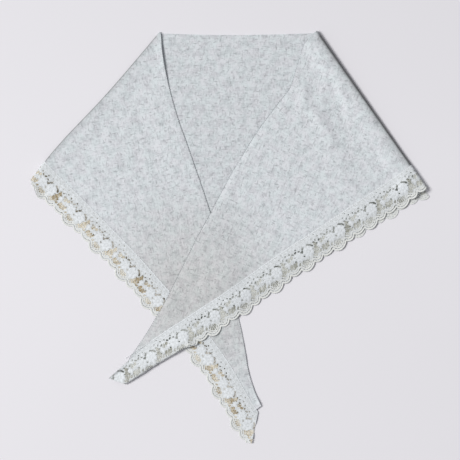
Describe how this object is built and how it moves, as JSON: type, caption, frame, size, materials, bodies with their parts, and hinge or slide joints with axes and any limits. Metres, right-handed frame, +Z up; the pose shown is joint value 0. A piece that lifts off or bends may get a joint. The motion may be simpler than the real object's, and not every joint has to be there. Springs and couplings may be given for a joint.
{
  "type": "lace shawl",
  "caption": "Triangular heathered knit shawl edged with scalloped floral lace, laid flat with both ends folded over the front and crossed.",
  "frame": {"origin": "under the middle of the shawl's box, on the surface that it lies on", "axes": "+Z up from the surface, +Y towards the neck edge, +X towards the fold of the end that lies on top"},
  "size_m": [0.5602, 0.577, 0.0103],
  "materials": {
    "knit": "brushed heathered knit, matte",
    "lace": "scalloped floral lace, matte"
  },
  "bodies": {
    "root": {"back": "knit", "left_front": "knit", "right_front": "knit", "lace_left_front": "lace", "lace_right_front": "lace", "lace_back_left": "lace", "lace_back_right": "lace"}
  },
  "joints": []
}
